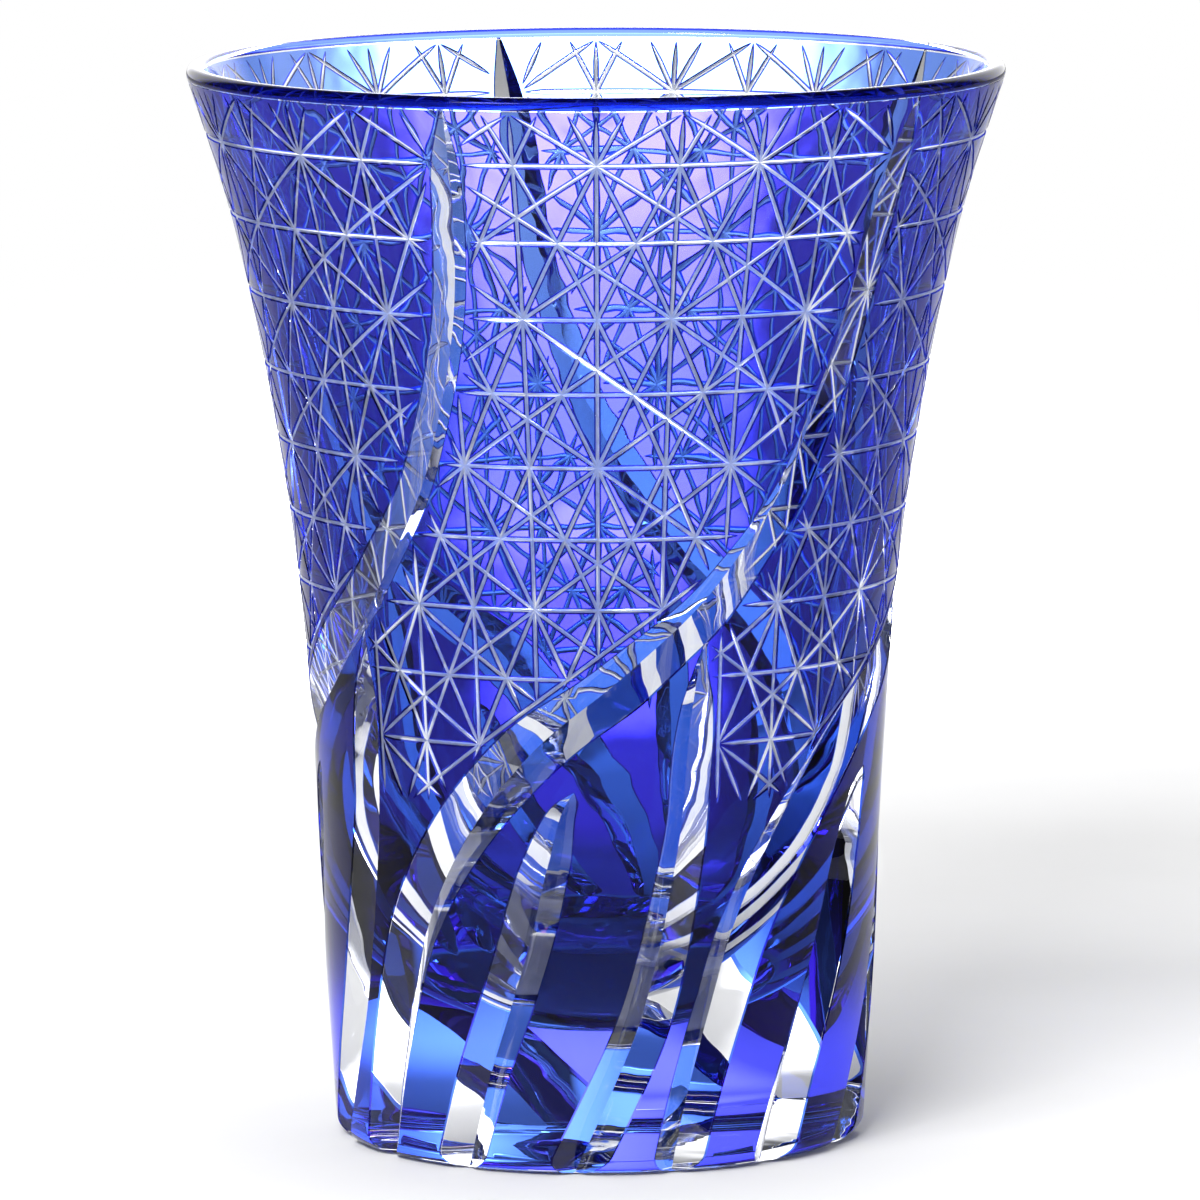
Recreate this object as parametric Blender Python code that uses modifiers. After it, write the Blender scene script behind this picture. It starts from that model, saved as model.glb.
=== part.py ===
"""Cased cut-crystal vase: a thick clear crystal vessel carrying a thin cobalt
casing.  Fifteen V-grooves sweep down the outside and cut the casing into ten
separate islands.  Metres, +Z up, origin at the centre of the foot."""

from math import cos, pi, radians, sin, sqrt

import bmesh
import bpy
from mathutils import Vector

# ---- overall size -----------------------------------------------------------
HEIGHT = 0.1135
WALL_PROFILE = (          # height, outer radius of the un-cut wall
    (-0.003, 0.0278),
    (0.003, 0.0281),
    (0.020, 0.02915),
    (0.040, 0.03005),
    (0.060, 0.03165),
    (0.080, 0.03460),
    (0.100, 0.03900),
    (0.1125, 0.04300),
)
HEEL_RADIUS = 0.0020      # rounding between wall and foot
PUNT_RADIUS = 0.0215      # shallow polished hollow under the foot
PUNT_RISE = 0.0008

# ---- lip and cavity ---------------------------------------------------------
LIP_RADIUS = 0.0010       # half the thickness of the rounded lip
BOWL_PROFILE = (          # radius, height of the rounded bottom of the cavity
    (0.0, 0.0128),
    (0.0053, 0.0134),
    (0.0100, 0.0151),
    (0.0139, 0.0177),
    (0.0170, 0.0209),
    (0.0199, 0.0252),
    (0.0220, 0.0294),
    (0.0235, 0.0337),
    (0.0245, 0.0378),
)
CAVITY_PROFILE = (        # height, inner radius of the cavity above its bowl
    (0.0420, 0.0252),
    (0.0500, 0.0262),
    (0.0600, 0.0277),
    (0.0800, 0.0312),
    (0.1000, 0.0363),
    (0.1115, 0.0405),
)

# ---- casing -----------------------------------------------------------------
CASING_THICKNESS = 0.0006
SEAT_GAP = 0.0003         # between the casing and the crystal under it
CASING_TOP = 0.1112
CASING_FOOT = 0.0009
LEDGE_TOP = 0.1118        # the crystal comes back to full size above this
LEDGE_FOOT = 0.00045      # and below this

# ---- V-grooves: height, angle round the vase in degrees, half width ---------
REPEATS = 5
REPEAT_ANGLE = 2 * pi / REPEATS
FLANK_SLOPE = 0.75        # depth gained per unit of half width
LEAST_DEPTH = 0.00115     # every groove goes right through the casing
CUTTER_RISE = 0.0010      # how far a cutter stands above the wall
LONG_SWOOP = (
    (0.1127, 50.5, 0.00040),
    (0.1060, 49.8, 0.00165),
    (0.1000, 49.2, 0.00188),
    (0.0888, 46.9, 0.00192),
    (0.0788, 42.1, 0.00198),
    (0.0677, 32.4, 0.00220),
    (0.0594, 20.2, 0.00260),
    (0.0514, 2.8, 0.00298),
    (0.0462, -10.3, 0.00325),
    (0.0348, -30.4, 0.00335),
    (0.0255, -41.0, 0.00325),
    (0.0130, -49.0, 0.00298),
    (-0.0020, -56.5, 0.00275),
)
TOUCHING_FLAME = (
    (0.0570, 21.1, 0.00050),
    (0.0530, 19.9, 0.00100),
    (0.0500, 19.5, 0.00172),
    (0.0459, 18.9, 0.00222),
    (0.0381, 17.9, 0.00230),
    (0.0300, 15.5, 0.00252),
    (0.0226, 12.6, 0.00272),
    (0.0157, 8.7, 0.00285),
    (0.0071, 1.2, 0.00285),
    (-0.0020, -8.0, 0.00280),
)
SHORT_FLAME = (
    (0.0406, -5.0, 0.00030),
    (0.0380, -7.9, 0.00160),
    (0.0336, -10.4, 0.00252),
    (0.0289, -13.0, 0.00290),
    (0.0242, -15.5, 0.00295),
    (0.0187, -19.1, 0.00295),
    (0.0106, -25.1, 0.00290),
    (-0.0020, -33.5, 0.00285),
)
GROOVES = (
    ("long_swoops", LONG_SWOOP),
    ("touching_flames", TOUCHING_FLAME),
    ("short_flames", SHORT_FLAME),
)

# ---- where one panel of each kind lies: height, angle in degrees ------------
STAR_PANEL_SPOT = (0.0900, 12.0)
FORK_PANEL_SPOT = (0.0440, 4.0)

# ---- fineness of the solids -------------------------------------------------
AROUND = 60
SECTIONS_PER_ROW = 2
ARC_STEPS = 4
WALL_STEP = 0.014


def smooth(rows, height):
    """Radius at a height on a smooth curve through the rows of a profile."""
    last = len(rows) - 1
    i = min(max(sum(row[0] <= height for row in rows) - 1, 0), last - 1)
    before, here, there, beyond = rows[max(i - 1, 0)], rows[i], rows[i + 1], rows[min(i + 2, last)]
    span = there[0] - here[0]
    t = (height - here[0]) / span
    slope_here = (there[1] - before[1]) / (there[0] - before[0]) * span
    slope_there = (beyond[1] - here[1]) / (beyond[0] - here[0]) * span
    start = here[1] * (2 * t**3 - 3 * t**2 + 1) + slope_here * (t**3 - 2 * t**2 + t)
    return start + there[1] * (3 * t**2 - 2 * t**3) + slope_there * (t**3 - t**2)


def wall_radius(height):
    """Outer radius of the wall before the heel is rounded."""
    return smooth(WALL_PROFILE, height)


def heel_radius_at(height):
    """Outer radius with the rounded heel."""
    full = wall_radius(height)
    if height >= HEEL_RADIUS:
        return full
    drop = HEEL_RADIUS - height
    return full - HEEL_RADIUS + sqrt(HEEL_RADIUS**2 - drop**2)


def heights(low, high):
    """Evenly spaced heights from high down to low."""
    count = max(round((high - low) / WALL_STEP), 1)
    return [high + (low - high) * i / count for i in range(count + 1)]


def arc(centre, radius, start, end):
    """Points on an arc in the profile plane, angles in degrees."""
    turn = [radians(start + (end - start) * i / ARC_STEPS) for i in range(ARC_STEPS + 1)]
    return [(centre[0] + radius * cos(a), centre[1] + radius * sin(a)) for a in turn]


def crystal_profile():
    """Bowl of the cavity, up the inside, over the lip, down the outside, foot."""
    lip = (wall_radius(HEIGHT - LIP_RADIUS) - LIP_RADIUS, HEIGHT - LIP_RADIUS)
    seat = CASING_THICKNESS + SEAT_GAP
    points = list(BOWL_PROFILE)
    inside = heights(CAVITY_PROFILE[0][0], CAVITY_PROFILE[-1][0])
    points += [(smooth(CAVITY_PROFILE, z), z) for z in reversed(inside)]
    points += arc(lip, LIP_RADIUS, 180, 0)
    points += [(wall_radius(LEDGE_TOP), LEDGE_TOP)]
    points += [(wall_radius(z) - seat, z) for z in heights(HEEL_RADIUS, LEDGE_TOP)]
    points += [(heel_radius_at(LEDGE_FOOT) - seat, LEDGE_FOOT)]
    points += [(heel_radius_at(LEDGE_FOOT), LEDGE_FOOT)]
    points += [(wall_radius(0.0) - HEEL_RADIUS, 0.0)]
    points += [(PUNT_RADIUS, 0.0), (PUNT_RADIUS * 0.6, PUNT_RISE * 0.8), (0.0, PUNT_RISE)]
    return points


def casing_profile():
    """Outer side of the casing, from under the lip down round the heel."""
    points = [(wall_radius(z), z) for z in heights(HEEL_RADIUS, CASING_TOP)]
    return points + [(heel_radius_at(CASING_FOOT), CASING_FOOT)]


def collection(name):
    made = bpy.data.collections.new(name)
    bpy.context.scene.collection.children.link(made)
    return made


def glass(name, colour, roughness, transmission):
    material = bpy.data.materials.new(name)
    material.use_nodes = True
    shader = material.node_tree.nodes["Principled BSDF"]
    shader.inputs["Base Color"].default_value = (*colour, 1.0)
    shader.inputs["Roughness"].default_value = roughness
    shader.inputs["Metallic"].default_value = 0.0
    shader.inputs["IOR"].default_value = 1.54
    shader.inputs["Transmission Weight"].default_value = transmission
    material.diffuse_color = (*colour, 1.0)
    return material


def add_object(name, mesh, home, material=None):
    piece = bpy.data.objects.new(name, mesh)
    home.objects.link(piece)
    if material:
        mesh.materials.append(material)
    return piece


def turned(name, profile, home, material):
    """A profile in the XZ plane turned once round the Z axis."""
    mesh = bpy.data.meshes.new(name)
    vertices = [(r, 0.0, z) for r, z in profile]
    mesh.from_pydata(vertices, [(i, i + 1) for i in range(len(vertices) - 1)], [])
    piece = add_object(name, mesh, home, material)
    screw = piece.modifiers.new("turn", "SCREW")
    screw.axis = "Z"
    screw.angle = 2 * pi
    screw.steps = AROUND
    screw.render_steps = AROUND
    screw.use_merge_vertices = True
    screw.merge_threshold = 0.00001
    return piece


def wall_point(height, angle):
    """A point on the un-cut wall; angle 0 faces -Y and grows towards +X."""
    radius = wall_radius(height)
    return Vector((radius * sin(angle), -radius * cos(angle), height))


def groove_row(table, place):
    """Height, angle and half width at a place counted in rows of the table."""
    last = len(table) - 1
    i = min(int(place), last - 1)
    t = place - i
    before, here, there, beyond = table[max(i - 1, 0)], table[i], table[i + 1], table[min(i + 2, last)]
    row = []
    for p, q, r, s in zip(before, here, there, beyond):
        bend = (2 * p - 5 * q + 4 * r - s) * t**2 + (3 * q - p - 3 * r + s) * t**3
        row.append(q + 0.5 * ((r - p) * t + bend))
    return row


def groove_section(table, place, turn):
    """Triangle across a groove: deep apex, then two corners above the wall."""
    reach = 0.02
    height, angle, half_width = groove_row(table, place)
    angle = radians(angle) + turn
    point = wall_point(height, angle)
    ahead, behind = groove_row(table, place + reach), groove_row(table, place)
    if place + reach > len(table) - 1:
        ahead, behind = groove_row(table, place), groove_row(table, place - reach)
    along = wall_point(ahead[0], radians(ahead[1]) + turn) - wall_point(behind[0], radians(behind[1]) + turn)
    uphill = wall_point(height + CUTTER_RISE, angle) - point
    around = Vector((cos(angle), sin(angle), 0.0))
    outward = around.cross(uphill).normalized()
    side = along.cross(outward).normalized()
    depth = max(half_width * FLANK_SLOPE, LEAST_DEPTH)
    spread = half_width * (1 + CUTTER_RISE / depth)
    top = point + outward * CUTTER_RISE
    return [point - outward * depth, top + side * spread, top - side * spread]


def groove_cutter(name, table, home):
    """The loft of a groove's sections, once for each repeat round the vase."""
    mesh = bpy.data.meshes.new(name)
    shape = bmesh.new()
    steps = (len(table) - 1) * SECTIONS_PER_ROW
    for repeat in range(REPEATS):
        rings = []
        for i in range(steps + 1):
            section = groove_section(table, i / SECTIONS_PER_ROW, repeat * REPEAT_ANGLE)
            rings.append([shape.verts.new(corner) for corner in section])
        for ring, following in zip(rings, rings[1:]):
            for a, b in ((0, 1), (1, 2), (2, 0)):
                shape.faces.new((ring[a], ring[b], following[b], following[a]))
        shape.faces.new(reversed(rings[0]))
        shape.faces.new(rings[-1])
    bmesh.ops.recalc_face_normals(shape, faces=shape.faces)
    shape.to_mesh(mesh)
    shape.free()
    cutter = add_object(name, mesh, home)
    cutter.display_type = "WIRE"
    cutter.hide_render = True
    return cutter


def cut(piece, cutters):
    for cutter in cutters:
        groove = piece.modifiers.new(cutter.name, "BOOLEAN")
        groove.operation = "DIFFERENCE"
        groove.solver = "EXACT"
        groove.object = cutter


def finished_mesh(piece):
    """The mesh of an object with all its modifiers applied."""
    depsgraph = bpy.context.evaluated_depsgraph_get()
    return bpy.data.meshes.new_from_object(piece.evaluated_get(depsgraph))


def island(source, name, spot):
    """The connected part of a mesh that lies at one spot on the wall."""
    shape = bmesh.new()
    shape.from_mesh(source)
    target = wall_point(spot[0], radians(spot[1]))
    seed = min(shape.faces, key=lambda face: (face.calc_center_median() - target).length)
    found = set(seed.verts)
    edge_of_search = list(found)
    while edge_of_search:
        vertex = edge_of_search.pop()
        for edge in vertex.link_edges:
            other = edge.other_vert(vertex)
            if other not in found:
                found.add(other)
                edge_of_search.append(other)
    bmesh.ops.delete(shape, geom=[v for v in shape.verts if v not in found], context="VERTS")
    mesh = bpy.data.meshes.new(name)
    shape.to_mesh(mesh)
    shape.free()
    return mesh


def shade(mesh):
    """Smooth round the wall, sharp along the grooves and edges."""
    mesh.shade_smooth()
    mesh.set_sharp_from_angle(angle=radians(20))


def build():
    for old in list(bpy.data.objects):
        bpy.data.objects.remove(old, do_unlink=True)
    vase = collection("cut_crystal_vase")
    tools = collection("cutters")
    crystal = glass("clear_crystal", (0.93, 0.95, 0.97), 0.02, 0.9)
    cobalt = glass("cobalt_casing", (0.03, 0.06, 0.62), 0.05, 0.6)

    axis = bpy.data.objects.new("vase_axis", None)
    vase.objects.link(axis)
    cutters = [groove_cutter(name, table, tools) for name, table in GROOVES]

    blank = turned("crystal_blank", crystal_profile(), tools, None)
    cut(blank, cutters)
    body_mesh = finished_mesh(blank)
    shade(body_mesh)
    body = add_object("crystal_body", body_mesh, vase, crystal)
    body.parent = axis

    sleeve = turned("casing_blank", casing_profile(), tools, None)
    skin = sleeve.modifiers.new("thickness", "SOLIDIFY")
    skin.thickness = CASING_THICKNESS
    skin.offset = -1.0
    skin.use_even_offset = True
    cut(sleeve, cutters)
    casing = finished_mesh(sleeve)
    for blanked in (blank, sleeve):
        blanked.hide_render = True
        blanked.display_type = "WIRE"

    for kind, spot in (("star_panel", STAR_PANEL_SPOT), ("fork_panel", FORK_PANEL_SPOT)):
        mesh = island(casing, kind, spot)
        shade(mesh)
        mesh.materials.clear()
        mesh.materials.append(cobalt)
        for repeat in range(REPEATS):
            panel = add_object(f"{kind}_{repeat + 1}", mesh, vase)
            panel.rotation_euler.z = repeat * REPEAT_ANGLE
            panel.parent = axis


build()
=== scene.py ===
from math import cos, pi, radians, sin

import bpy
import numpy as np
from mathutils import Euler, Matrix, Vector
from mathutils.geometry import delaunay_2d_cdt


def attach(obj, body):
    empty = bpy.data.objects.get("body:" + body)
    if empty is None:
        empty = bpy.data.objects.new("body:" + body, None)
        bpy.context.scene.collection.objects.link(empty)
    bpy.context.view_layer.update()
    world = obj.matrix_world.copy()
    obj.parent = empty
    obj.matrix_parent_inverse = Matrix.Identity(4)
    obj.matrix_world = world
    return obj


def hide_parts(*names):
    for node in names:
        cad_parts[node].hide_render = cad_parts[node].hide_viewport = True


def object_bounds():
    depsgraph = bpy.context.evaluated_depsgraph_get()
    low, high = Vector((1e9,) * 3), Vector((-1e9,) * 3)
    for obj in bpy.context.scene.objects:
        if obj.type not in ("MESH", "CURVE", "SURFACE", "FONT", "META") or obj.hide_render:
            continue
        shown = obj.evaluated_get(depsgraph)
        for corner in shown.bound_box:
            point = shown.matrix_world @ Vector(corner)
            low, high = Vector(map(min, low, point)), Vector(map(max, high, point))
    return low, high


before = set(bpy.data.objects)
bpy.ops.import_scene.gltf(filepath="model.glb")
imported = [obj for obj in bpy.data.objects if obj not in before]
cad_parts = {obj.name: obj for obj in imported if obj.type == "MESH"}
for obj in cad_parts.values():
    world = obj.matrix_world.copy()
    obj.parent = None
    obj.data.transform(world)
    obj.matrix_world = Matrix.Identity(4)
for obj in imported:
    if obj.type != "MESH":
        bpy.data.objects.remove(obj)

CAD_BOX = [list(corner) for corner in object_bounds()]

# ---- the turned shape, in metres --------------------------------------------
HEIGHT = CAD_BOX[1][2]
WALL_PROFILE = (          # height, outer radius of the un-cut wall
    (-0.003, 0.0278),
    (0.003, 0.0281),
    (0.020, 0.02915),
    (0.040, 0.03005),
    (0.060, 0.03165),
    (0.080, 0.03460),
    (0.100, 0.03900),
    (0.1125, 0.04300),
)
HEEL_RADIUS = 0.0020      # rounding between wall and foot
PUNT_RADIUS = 0.0215      # shallow polished hollow under the foot
PUNT_RISE = 0.0008
LIP_RADIUS = 0.0010
LIP_STEPS = 24
LIP_CASED = 13            # of those steps over the lip, the ones that keep their casing
CAVITY_PROFILE = (        # height, inner radius of the cavity above its bowl
    (0.0420, 0.0252),
    (0.0500, 0.0262),
    (0.0600, 0.0277),
    (0.0800, 0.0312),
    (0.1000, 0.0363),
    (0.1125, 0.0409),
)
BOWL_PROFILE = (          # radius, height of the rounded bottom of the cavity
    (0.0, 0.0128),
    (0.0053, 0.0134),
    (0.0100, 0.0151),
    (0.0139, 0.0177),
    (0.0170, 0.0209),
    (0.0199, 0.0252),
    (0.0220, 0.0294),
    (0.0235, 0.0337),
    (0.0245, 0.0378),
    (0.0252, 0.0420),
)
BOWL_PATH = np.array(BOWL_PROFILE)
BOWL_STEPS = np.hypot(*np.diff(BOWL_PATH, axis=0).T)
BOWL_SHARE = np.concatenate([[0], np.cumsum(BOWL_STEPS)]) / BOWL_STEPS.sum()
BOWL_RADII = tuple(zip(BOWL_SHARE, BOWL_PATH[:, 0]))
BOWL_HEIGHTS = tuple(zip(BOWL_SHARE, BOWL_PATH[:, 1]))
CAVITY_RIM = 0.1120       # where the inside wall meets the lip
CAVITY_STEP = 0.002

# ---- the casing --------------------------------------------------------------
CASING = 0.00012          # thickness of the cobalt layer
SEAM = 0.00002            # between the casing and the crystal it is fused to
CASING_TOP = 0.11205
CASING_FOOT = 0.00040
LEDGE = 0.00005           # step back out to full size above and below the casing
WALL_TOP = 0.11220        # where the rounded lip takes over
SEAM_HEIGHTS = (CASING_TOP + LEDGE, CASING_TOP, CASING_FOOT, CASING_FOOT - LEDGE)

# ---- the lattice that the cutting is marked out on ---------------------------
COLUMN = radians(12)      # thirty columns round the vase
SECTOR = 6                # columns in one of the five repeats
REPEATS = 5
ROW_TOP = 0.1064          # height of the first row of stars
ROW_PITCH = 0.0082
ROW_EASE = 0.00007        # rows draw closer together down the wall
FIRST_COLUMN = 0.27       # where one repeat begins, clear of the lattice

# ---- V-grooves: height, angle in degrees, half width -------------------------
FLANK_SLOPE = 0.75        # depth gained per unit of half width
LONG_SWOOP = (
    (0.1129, 50.6, 0.00010),
    (0.1060, 49.8, 0.00165),
    (0.1000, 49.2, 0.00188),
    (0.0888, 46.9, 0.00192),
    (0.0788, 42.1, 0.00198),
    (0.0710, 36.3, 0.00205),
    (0.0647, 28.4, 0.00232),
    (0.0594, 20.2, 0.00260),
    (0.0543, 9.4, 0.00285),
    (0.0514, 2.8, 0.00298),
    (0.0462, -10.3, 0.00325),
    (0.0400, -22.3, 0.00335),
    (0.0348, -30.4, 0.00335),
    (0.0255, -41.0, 0.00325),
    (0.0169, -46.8, 0.00305),
    (0.0070, -52.4, 0.00285),
    (-0.0010, -56.0, 0.00275),
)
TOUCHING_FLAME = (
    (0.0566, 21.0, 0.00010),
    (0.0530, 19.9, 0.00090),
    (0.0500, 19.5, 0.00172),
    (0.0459, 18.9, 0.00222),
    (0.0419, 18.3, 0.00230),
    (0.0381, 17.9, 0.00230),
    (0.0300, 15.5, 0.00252),
    (0.0226, 12.6, 0.00272),
    (0.0157, 8.7, 0.00285),
    (0.0071, 1.2, 0.00285),
    (-0.0010, -7.0, 0.00280),
)
SHORT_FLAME = (
    (0.0406, -4.9, 0.00002),
    (0.0398, -6.0, 0.00080),
    (0.0380, -7.9, 0.00160),
    (0.0359, -9.2, 0.00212),
    (0.0336, -10.4, 0.00252),
    (0.0315, -11.7, 0.00272),
    (0.0289, -13.0, 0.00290),
    (0.0242, -15.5, 0.00295),
    (0.0187, -19.1, 0.00295),
    (0.0106, -25.1, 0.00290),
    (-0.0010, -32.6, 0.00285),
)

# ---- fine star cuts -----------------------------------------------------------
STAR_HALF_WIDTH = 0.00034
STAR_SLOPE = 0.75
STAR_TOP = 0.1118
STAR_FOOT_ROW = 8.9
STAR_TAPER = 0.0022       # length over which a cut runs out to a point
STAR_CLEARANCE = 0.0003   # how far short of a groove's edge it stops

# ---- fineness of the meshes ---------------------------------------------------
GRID_COLUMN = 0.2
GRID_ROW = 0.25
SAMPLES_PER_ROW = 4


def curve(rows, at, column=1):
    """Values on a smooth curve through the rows of a table, at any heights."""
    table = np.array(sorted(rows))
    x, y = table[:, 0], table[:, column]
    slope = np.gradient(y, x)
    i = np.clip(np.searchsorted(x, at) - 1, 0, len(x) - 2)
    span = x[i + 1] - x[i]
    t = np.clip((at - x[i]) / span, 0, 1)
    start = y[i] * (2 * t**3 - 3 * t**2 + 1) + slope[i] * span * (t**3 - 2 * t**2 + t)
    return start + y[i + 1] * (3 * t**2 - 2 * t**3) + slope[i + 1] * span * (t**3 - t**2)


def wall_radius(height):
    return curve(WALL_PROFILE, height)


def wall_slope(height):
    return (wall_radius(height + 1e-4) - wall_radius(height - 1e-4)) / 2e-4


def height_of_row(row):
    return ROW_TOP - ROW_PITCH * row + ROW_EASE * row**2


def row_of_height(height):
    bend = ROW_PITCH**2 - 4 * ROW_EASE * (ROW_TOP - height)
    return (ROW_PITCH - np.sqrt(bend)) / (2 * ROW_EASE)


def heel_drop(height):
    """How far the rounded heel lies inside the un-rounded wall."""
    below = np.clip(HEEL_RADIUS - height, 0, HEEL_RADIUS)
    return HEEL_RADIUS - np.sqrt(HEEL_RADIUS**2 - below**2)


def metric(row):
    """Metres per column and per row on the wall."""
    height = height_of_row(row)
    along = (ROW_PITCH - 2 * ROW_EASE * row) * np.sqrt(1 + wall_slope(height) ** 2)
    return COLUMN * wall_radius(height), along


class Sweep:
    """A wide V-groove whose centre is a smooth function of height."""

    def __init__(self, rows, shift=0):
        self.rows = rows
        self.shift = shift
        self.low, self.high = rows[-1][0], rows[0][0]

    def centre(self, height):
        return curve(self.rows, height) / 12 + self.shift

    def crease(self, height):
        """Depth of the crease."""
        return FLANK_SLOPE * np.maximum(curve(self.rows, height, 2), 0)

    def reach(self, height):
        """Half width along a row, in columns."""
        lean = (self.centre(height + 1e-4) - self.centre(height - 1e-4)) / 2e-4
        across = wall_radius(height) * COLUMN
        half = np.maximum(curve(self.rows, height, 2), 1e-7)
        return half * np.sqrt(1 + (across * lean) ** 2) / across

    def depth(self, column, row):
        height = height_of_row(row)
        away = np.abs(column - self.centre(height)) / self.reach(height)
        inside = (height < self.high) & (height > self.low)
        return np.where(inside, self.crease(height) * (1 - away), -1.0)

    def side(self, column, row):
        return np.where(column > self.centre(height_of_row(row)), 1.0, -1.0)

    def flank(self, column, row, side):
        """Depth of the plane of one flank, carried on past its limits."""
        height = height_of_row(row)
        return self.crease(height) * (1 - side * (column - self.centre(height)) / self.reach(height))

    def paths(self):
        """Crease, both edges and both casing edges, as lists of lattice points."""
        top = min(self.high, WALL_TOP)
        rows = np.arange(row_of_height(top), row_of_height(0.0), 0.5 / SAMPLES_PER_ROW)
        fine = row_of_height(np.array([0.0018, 0.0014, 0.0011, 0.0008, 0.0006, 0.0004, 0.00025, 0.00012]))
        rows = np.unique(np.concatenate([rows, fine]))
        height = height_of_row(rows)
        centre, reach, crease = self.centre(height), self.reach(height), self.crease(height)
        found = [[(c, r) for c, r in zip(centre, rows)]]
        for level in (0.0, CASING):
            share = 1 - (heel_drop(height) + level) / np.maximum(crease, 1e-9)
            for side in (-1, 1):
                points = [(c + side * a * s, r) for c, a, s, r in zip(centre, reach, share, rows) if s > 0]
                if level == 0.0:
                    points.insert(0, (float(self.centre(self.high)), float(row_of_height(self.high))))
                found.append(points)
        return found


class Line:
    """A fine straight V-cut between two points of the lattice."""

    def __init__(self, start, end, taper_start, taper_end):
        self.start, self.end = np.array(start), np.array(end)
        self.run = self.end - self.start
        across, along = metric((self.start[1] + self.end[1]) / 2)
        self.length = float(np.hypot(self.run[0] * across, self.run[1] * along))
        self.tapers = (taper_start, taper_end)

    def half_width(self, share):
        width = np.ones_like(share)
        if self.tapers[0]:
            width = np.minimum(width, share * self.length / STAR_TAPER)
        if self.tapers[1]:
            width = np.minimum(width, (1 - share) * self.length / STAR_TAPER)
        return STAR_HALF_WIDTH * np.sqrt(np.clip(width, 0, 1))

    def local(self, column, row):
        """Signed distance from the centre line, and the share of its length."""
        across, along = metric(row)
        du, dv = column - self.start[0], row - self.start[1]
        run_u, run_v = self.run
        distance = (du * run_v - dv * run_u) / np.hypot(run_v / across, run_u / along)
        squared = (run_u * across) ** 2 + (run_v * along) ** 2
        return distance, (du * run_u * across**2 + dv * run_v * along**2) / squared

    def depth(self, column, row):
        distance, share = self.local(column, row)
        inside = (share > 0) & (share < 1)
        return np.where(inside, STAR_SLOPE * (self.half_width(share) - np.abs(distance)), -1.0)

    def side(self, column, row):
        return np.where(self.local(column, row)[0] > 0, 1.0, -1.0)

    def flank(self, column, row, side):
        distance, share = self.local(column, row)
        return STAR_SLOPE * (self.half_width(share.clip(0, 1)) - side * distance)

    def paths(self):
        steps = max(int(np.hypot(*self.run) * SAMPLES_PER_ROW), 2)
        share = np.linspace(0, 1, steps + 1)
        near_end = STAR_TAPER / self.length * np.array([0.08, 0.25, 0.5, 1.0])
        share = np.unique(np.concatenate([share, near_end, 1 - near_end]).clip(0, 1))
        points = self.start + share[:, None] * self.run
        across, along = metric(points[:, 1])
        normal = np.stack([self.run[1] / across, -self.run[0] / along], 1)
        normal /= np.hypot(normal[:, 0], normal[:, 1])[:, None]
        normal /= np.stack([across, along], 1)
        half = self.half_width(share)
        found = [[tuple(p) for p in points]]
        for level in (0.0, CASING):
            reach = half - level / STAR_SLOPE
            for side in (-1, 1):
                found.append([tuple(p + n * side * h) for p, n, h in zip(points, normal, reach) if h >= 0])
        return found


def star_region(swoop, flame, column, row):
    """True between one long swoop and the next, clear of the flame between."""
    height = height_of_row(row)
    margin = STAR_CLEARANCE / (wall_radius(height) * COLUMN)
    left = swoop.centre(height) - SECTOR + swoop.reach(height)
    beside_flame = flame.centre(height) - SECTOR + flame.reach(height)
    left = np.where(height < flame.high, np.maximum(left, beside_flame), left)
    right = swoop.centre(height) - swoop.reach(height)
    inside = (column > left + margin) & (column < right - margin)
    return inside & (row > row_of_height(STAR_TOP)) & (row < STAR_FOOT_ROW)


def star_lines(swoop, flame):
    """The fine cuts of one star panel: level, upright, steep and shallow."""
    families = [((-12, n), (1.0, 0.0), 24) for n in range(9)]
    for n in range(-12, 13):
        families.append(((n, -1), (0.0, 1.0), 11))
    for lean in (0.5, -0.5):
        for n in range(-18, 19):
            families.append(((n - lean, -1), (lean, 1.0), 11))
    for lean in (1.5, -1.5):
        for n in range(-26, 27, 2):
            families.append(((n - lean, -1), (lean, 1.0), 11))
    lines = []
    for start, run, length in families:
        share = np.linspace(0, length, length * 100 + 1)
        points = np.array(start) + share[:, None] * np.array(run)
        inside = star_region(swoop, flame, points[:, 0], points[:, 1])
        turns = np.flatnonzero(np.diff(np.concatenate([[0], inside.astype(int), [0]])))
        for first, last in zip(turns[::2], turns[1::2] - 1):
            across, along = metric(points[first][1])
            length_here = np.hypot(*((points[last] - points[first]) * (across, along)))
            if length_here > 2 * STAR_TAPER:
                lines.append(Line(points[first], points[last], True, True))
    return lines


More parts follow.
